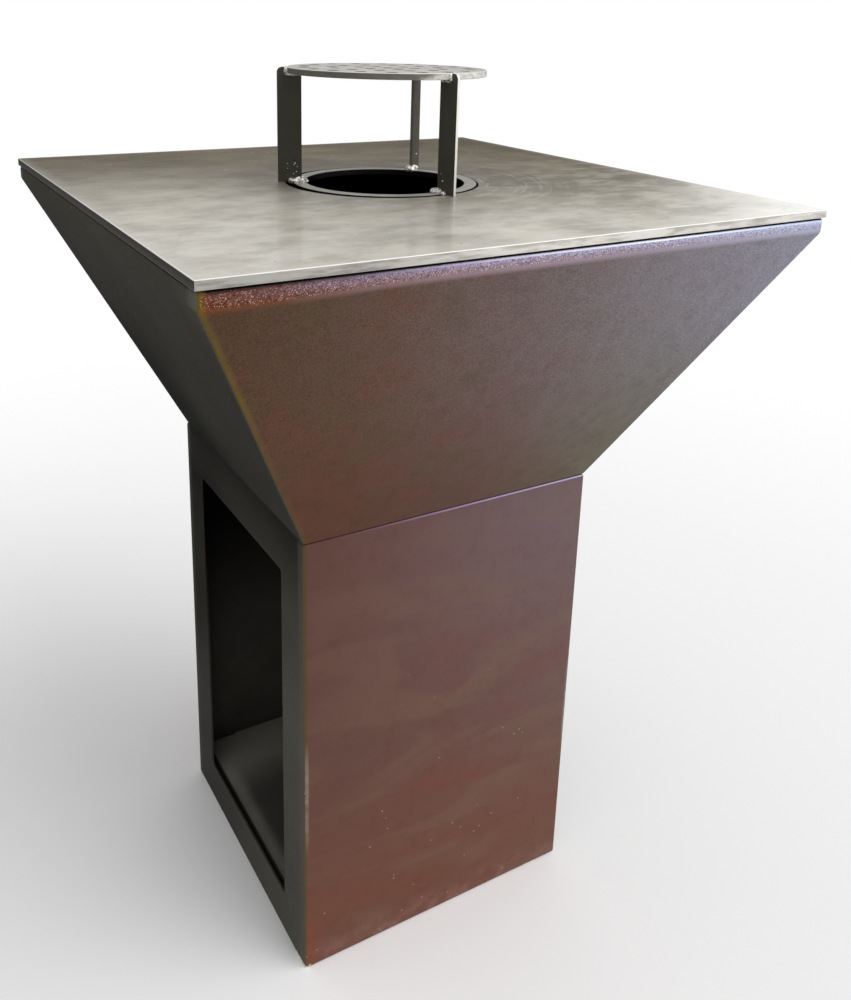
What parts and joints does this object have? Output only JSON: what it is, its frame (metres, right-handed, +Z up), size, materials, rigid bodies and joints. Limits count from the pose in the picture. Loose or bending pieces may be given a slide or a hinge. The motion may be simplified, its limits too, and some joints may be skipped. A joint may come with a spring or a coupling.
{
  "type": "wood-fired griddle",
  "caption": "Square steel griddle plate with a removable perforated riser on an inverted-pyramid fire bowl and a square pedestal whose open side stores firewood.",
  "frame": {"origin": "on the floor under the middle of the pedestal", "axes": "+Z up; the closed copper-coloured front faces -Y and the open side of the wood store faces -X"},
  "size_m": [0.8, 0.8, 1.19],
  "materials": {
    "copper_coat": "fine-textured metallic powder coat, copper brown",
    "dark_coat": "fine-textured powder coat, dark olive grey",
    "griddle_steel": "ground hot-rolled plate, lightly oiled",
    "mill_scale_steel": "dark mill scale with bright cut edges",
    "grille_steel": "ground steel, worn",
    "weld_metal": "bright weld bead",
    "inner_steel": "dark powder coat, scuffed",
    "fire_blackened_steel": "fire-blackened",
    "zinc_fasteners": "zinc plated",
    "pan_sheet": "plain mild steel sheet, ash-dulled"
  },
  "bodies": {
    "stand": {"pedestal_front_panel": "copper_coat", "pedestal_back_panel": "copper_coat", "pedestal_left_panel": "dark_coat", "pedestal_right_panel": "dark_coat", "storage_floor": "inner_steel", "storage_floor_angles": "inner_steel", "bowl_front_panel": "copper_coat", "bowl_back_panel": "copper_coat", "bowl_left_panel": "dark_coat", "bowl_right_panel": "dark_coat", "bowl_floor": "fire_blackened_steel", "bowl_bolts": "zinc_fasteners", "bowl_washers": "zinc_fasteners", "bowl_nuts": "zinc_fasteners", "pan_runner_front": "inner_steel", "pan_runner_back": "inner_steel"},
    "griddle": {"griddle_plate": "griddle_steel", "plate_locating_lugs": "mill_scale_steel"},
    "riser": {"riser_ring": "grille_steel", "riser_leg_rear": "mill_scale_steel", "riser_leg_left": "mill_scale_steel", "riser_leg_right": "mill_scale_steel", "riser_grille": "grille_steel", "riser_foot_welds": "weld_metal", "riser_top_welds": "weld_metal"},
    "grate": {"grate_bars": "fire_blackened_steel", "grate_cross_bars": "fire_blackened_steel", "grate_feet": "fire_blackened_steel"},
    "ash_pan": {"ash_pan_tray": "pan_sheet", "ash_pan_handle": "pan_sheet"}
  },
  "joints": [
    {"name": "plate_lift", "type": "slide", "parent": "stand", "child": "griddle", "axis": [0, 0, 1], "range_m": [0, 0.3]},
    {"name": "riser_lift", "type": "slide", "parent": "griddle", "child": "riser", "axis": [0, 0, 1], "range_m": [0, 0.25]},
    {"name": "grate_lift", "type": "slide", "parent": "stand", "child": "grate", "axis": [0, 0, 1], "range_m": [0, 0.25]},
    {"name": "ash_pan_slide", "type": "slide", "parent": "stand", "child": "ash_pan", "axis": [-1, 0, 0], "range_m": [0, 0.24]}
  ]
}
